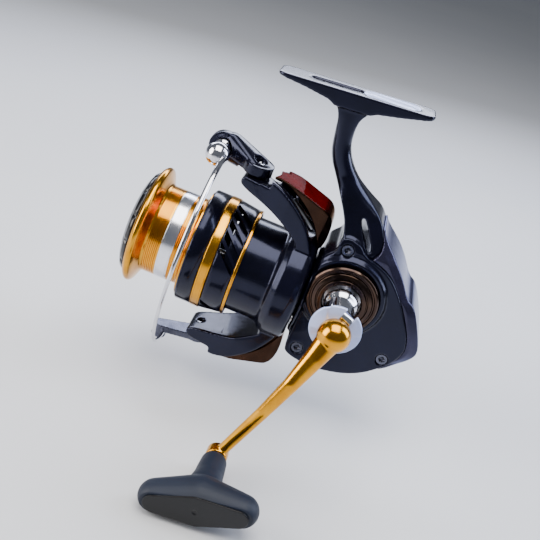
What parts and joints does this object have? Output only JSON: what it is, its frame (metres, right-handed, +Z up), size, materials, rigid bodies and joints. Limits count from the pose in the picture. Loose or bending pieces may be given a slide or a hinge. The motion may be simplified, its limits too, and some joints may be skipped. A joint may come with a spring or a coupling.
{
  "type": "spinning reel",
  "caption": "Spinning fishing reel with a rod foot, a skirted spool, a two-armed rotor, a wire bail with a line roller and a folding handle with a T-shaped knob.",
  "frame": {"origin": "centre of the foot's flat seat face, where the reel meets the rod", "axes": "+Z up towards the rod, square to the seat face; -Y towards the spool's nose and the rod's tip; +X on the handle's side. The main shaft lies 86 mm below the seat and is tilted 5.5 degrees nose up."},
  "size_m": [0.118, 0.1304, 0.1454],
  "materials": {
    "gloss_black": "gloss black paint with a blue-violet flake",
    "gunmetal": "dark gunmetal gloss",
    "bronze": "dark bronze, turned",
    "brown_gloss": "black-brown gloss",
    "gold": "gold anodised, turned and polished",
    "bright": "polished",
    "machined_steel": "machined",
    "brass": "machined",
    "zinc_gear": "die cast and cut",
    "satin_disc": "satin, pale blue white",
    "rubber_grip": "matte slate rubber",
    "grip_trim": "dark cap with a bright edge",
    "black_plastic": "gloss moulded plastic",
    "grey_metal": "satin grey",
    "silver_band": "satin silver",
    "felt": "pressed felt"
  },
  "bodies": {
    "reel_body": {"body_frame": "gloss_black", "foot_inlay": "satin_disc", "side_cover": "gloss_black", "rear_guard": "gunmetal", "boss_ring": "bronze", "body_screws": "grey_metal", "guard_screw": "machined_steel", "drive_bearings": "machined_steel", "pinion_bearing": "machined_steel", "clutch_housing": "machined_steel", "clutch_screws": "machined_steel", "pinion_bush": "brass", "guide_rod": "machined_steel"},
    "handle_drive": {"drive_gear": "zinc_gear", "drive_shaft": "machined_steel", "handle_post": "bright", "handle_lock_cap": "black_plastic"},
    "handle_lever": {"handle_arm": "gold", "joint_disc": "satin_disc", "fold_pin": "machined_steel", "knob_shaft": "machined_steel", "knob_retainer": "machined_steel"},
    "handle_knob": {"knob": "rubber_grip", "knob_cap": "grip_trim"},
    "oscillator": {"oscillation_gear": "zinc_gear"},
    "spool_shaft": {"main_shaft": "machined_steel", "oscillation_slider": "grey_metal", "slider_screw": "machined_steel", "spool_support": "brass", "keyed_washers": "machined_steel"},
    "spool_group": {"spool": "gold", "spool_skirt": "gloss_black", "skirt_ring": "gold", "skirt_rear_ring": "gold", "barrel_band": "silver_band", "line_clip": "bright", "spool_bush": "brass", "felt_washers": "felt", "eared_washers": "machined_steel", "washer_retainer": "machined_steel"},
    "drag_adjuster": {"drag_knob": "black_plastic", "drag_nut": "brass", "drag_spring": "machined_steel"},
    "rotor_group": {"rotor": "gloss_black", "pinion": "brass", "clutch_sleeve": "machined_steel", "rotor_nut": "machined_steel", "bail_arm_cover": "brown_gloss", "counter_arm_cover": "brown_gloss", "bail_spring": "machined_steel", "pivot_screws": "bright"},
    "trip": {"trip_lever": "grey_metal"},
    "bail": {"bail_lever": "gloss_black", "bail_wire": "bright", "bail_cap": "bright", "counter_lever": "grey_metal", "wire_screw": "bright", "roller_bush": "brass"},
    "roller": {"line_roller": "bright"}
  },
  "joints": [
    {"name": "handle_spin", "type": "hinge", "parent": "reel_body", "child": "handle_drive", "pos_m": [0, 0.0186, -0.07704], "axis": [1, 0, 0], "continuous": true},
    {"name": "handle_fold", "type": "hinge", "parent": "handle_drive", "child": "handle_lever", "pos_m": [0.042, 0.02097, -0.07207], "axis": [0, -0.9026, 0.4305], "range_deg": [0, 90]},
    {"name": "knob_spin", "type": "hinge", "parent": "handle_lever", "child": "handle_knob", "pos_m": [0.06, -0.00981, -0.13661], "axis": [1, 0, 0], "continuous": true},
    {"name": "rotor_spin", "type": "hinge", "parent": "reel_body", "child": "rotor_group", "pos_m": [0, -0.00824, -0.0856], "axis": [0, 0.9954, -0.0958], "continuous": true},
    {"name": "oscillation_gear_spin", "type": "hinge", "parent": "reel_body", "child": "oscillator", "pos_m": [0, 0.03226, -0.09272], "axis": [1, 0, 0], "continuous": true},
    {"name": "spool_travel", "type": "slide", "parent": "reel_body", "child": "spool_shaft", "axis": [0, 0.9954, -0.0958], "range_m": [0, 0.012]},
    {"name": "spool_drag_slip", "type": "hinge", "parent": "spool_shaft", "child": "spool_group", "pos_m": [0, -0.00824, -0.0856], "axis": [0, 0.9954, -0.0958], "continuous": true},
    {"name": "drag_knob_turn", "type": "hinge", "parent": "spool_shaft", "child": "drag_adjuster", "pos_m": [0, -0.06797, -0.07985], "axis": [0, 0.9954, -0.0958], "range_deg": [-360, 360]},
    {"name": "bail_flip", "type": "hinge", "parent": "rotor_group", "child": "bail", "pos_m": [0, -0.03313, -0.08321], "axis": [0, -0.0958, -0.9954], "range_deg": [0, 100]},
    {"name": "trip_lever_swing", "type": "hinge", "parent": "rotor_group", "child": "trip", "pos_m": [-0.0045, -0.01026, -0.05025], "axis": [1, 0, 0], "range_deg": [0, 5]},
    {"name": "line_roller_spin", "type": "hinge", "parent": "bail", "child": "roller", "pos_m": [0, -0.04564, -0.03891], "axis": [1, 0, 0], "continuous": true}
  ],
  "couplings": [
    {"joint": "rotor_spin", "follows": "handle_spin", "ratio": -6.2},
    {"joint": "oscillation_gear_spin", "follows": "handle_spin", "ratio": -0.73333},
    {"joint": "trip_lever_swing", "follows": "bail_flip", "ratio": 0.05}
  ]
}
